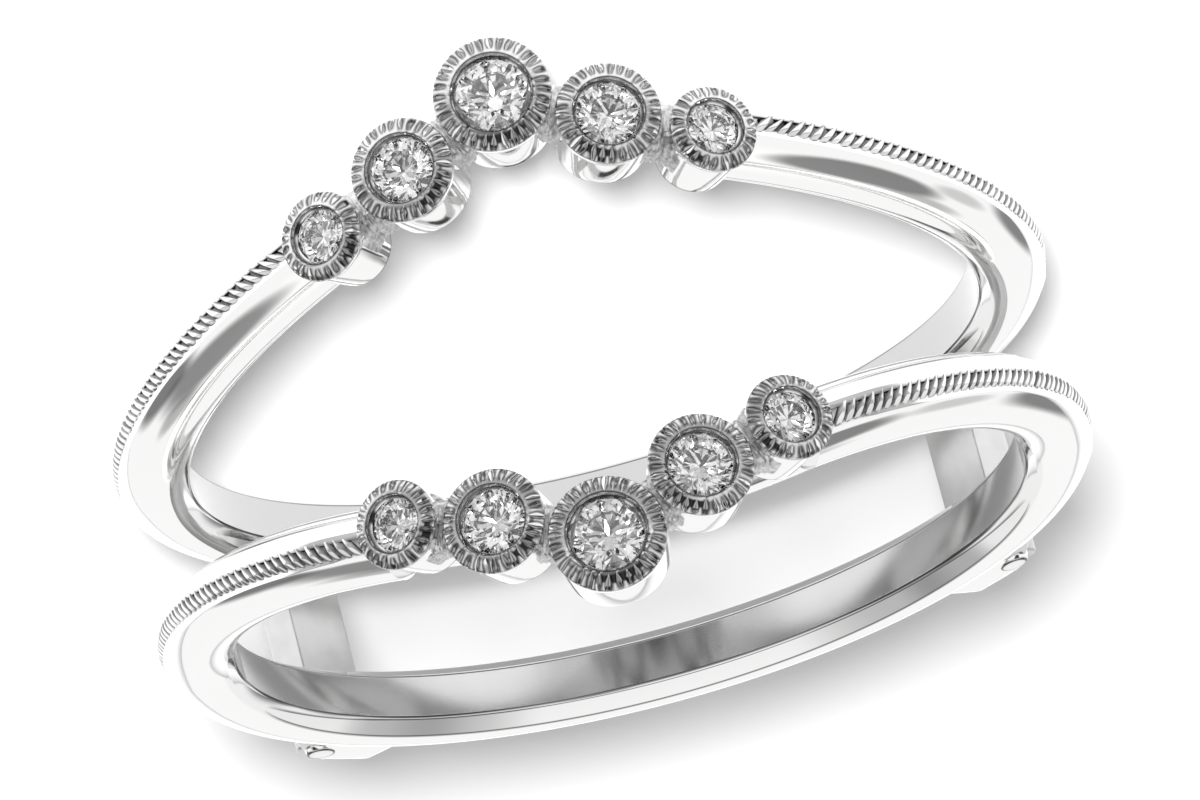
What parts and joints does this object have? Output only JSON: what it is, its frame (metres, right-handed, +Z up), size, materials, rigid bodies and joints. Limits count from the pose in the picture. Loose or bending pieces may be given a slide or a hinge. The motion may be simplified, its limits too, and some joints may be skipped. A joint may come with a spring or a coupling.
{
  "type": "ring guard",
  "caption": "Ring guard: two parallel bands joined by two bars, each topped by a bowed row of bezel-set stones, with room between them for another ring.",
  "frame": {"origin": "middle of the bounding box, on the floor that the ring rests on, lying on its side", "axes": "+Z up; +X to the viewer's right, across the finger hole; X = 0 is the mirror plane; the rows of stones face -Y; the finger hole leans 10.7 degrees from +Z towards +Y"},
  "size_m": [0.0204, 0.0216, 0.0125],
  "materials": {
    "white_gold": "mirror-polished white gold with a bright plating",
    "stone": "faceted clear white stone"
  },
  "bodies": {
    "root": {"ring_frame": "white_gold", "upper_centre_stone": "stone", "upper_left_inner_stone": "stone", "upper_right_inner_stone": "stone", "upper_left_outer_stone": "stone", "upper_right_outer_stone": "stone", "lower_centre_stone": "stone", "lower_left_inner_stone": "stone", "lower_right_inner_stone": "stone", "lower_left_outer_stone": "stone", "lower_right_outer_stone": "stone"}
  },
  "joints": []
}
